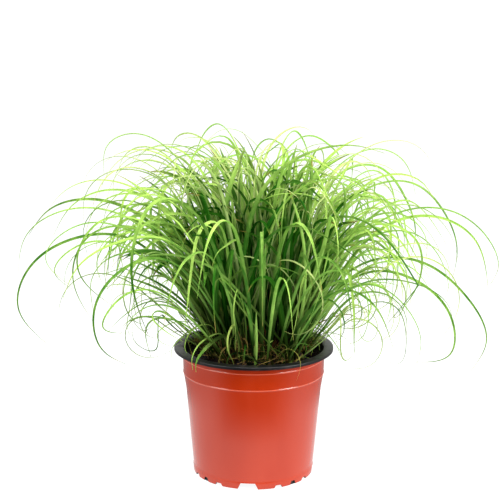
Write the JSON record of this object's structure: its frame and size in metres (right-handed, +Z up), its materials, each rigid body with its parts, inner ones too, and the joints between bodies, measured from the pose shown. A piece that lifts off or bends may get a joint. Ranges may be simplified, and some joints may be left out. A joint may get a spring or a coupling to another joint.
{
  "type": "potted umbrella sedge",
  "caption": "Young clump of narrow arching sedge leaves growing from a crown in dark soil, in a round tapered nursery pot with a flat rim and a notched foot.",
  "frame": {"origin": "the pot's axis at the surface it stands on, under the middle of the leaves' box", "axes": "+Z up the pot's axis; +X to the right, along the widest spread of the leaves; -Y is the front"},
  "size_m": [0.3597, 0.3009, 0.2583],
  "materials": {
    "pot_plastic": "satin",
    "soil": "matte",
    "shoot_bases": "matte",
    "leaf": "satin"
  },
  "bodies": {
    "root": {"crown": "shoot_bases", "leaf_back_01": "leaf", "leaf_back_02": "leaf", "leaf_back_03": "leaf", "leaf_back_04": "leaf", "leaf_back_05": "leaf", "leaf_back_06": "leaf", "leaf_back_07": "leaf", "leaf_back_08": "leaf", "leaf_front_01": "leaf", "leaf_front_02": "leaf", "leaf_front_03": "leaf", "leaf_front_04": "leaf", "leaf_front_05": "leaf", "leaf_left_01": "leaf", "leaf_left_02": "leaf", "leaf_left_03": "leaf", "leaf_left_04": "leaf", "leaf_left_05": "leaf", "leaf_left_06": "leaf", "leaf_left_07": "leaf", "leaf_left_08": "leaf", "leaf_left_09": "leaf", "leaf_left_10": "leaf", "leaf_left_11": "leaf", "leaf_left_12": "leaf", "leaf_left_13": "leaf", "leaf_left_14": "leaf", "leaf_left_15": "leaf", "leaf_left_16": "leaf", "leaf_right_01": "leaf", "leaf_right_02": "leaf", "leaf_right_03": "leaf", "leaf_right_04": "leaf", "leaf_right_05": "leaf", "leaf_right_06": "leaf", "leaf_right_07": "leaf", "leaf_right_08": "leaf", "leaf_right_09": "leaf", "leaf_right_10": "leaf", "leaf_right_11": "leaf", "leaf_right_12": "leaf", "leaf_right_13": "leaf", "leaf_right_14": "leaf", "leaf_right_15": "leaf", "leaf_right_16": "leaf", "leaf_top_01": "leaf", "leaf_top_02": "leaf", "leaf_top_03": "leaf", "leaf_top_04": "leaf", "leaf_top_05": "leaf", "leaf_top_06": "leaf", "leaf_top_07": "leaf", "leaf_top_08": "leaf", "leaf_top_09": "leaf", "pot": "pot_plastic", "soil": "soil"}
  },
  "joints": []
}
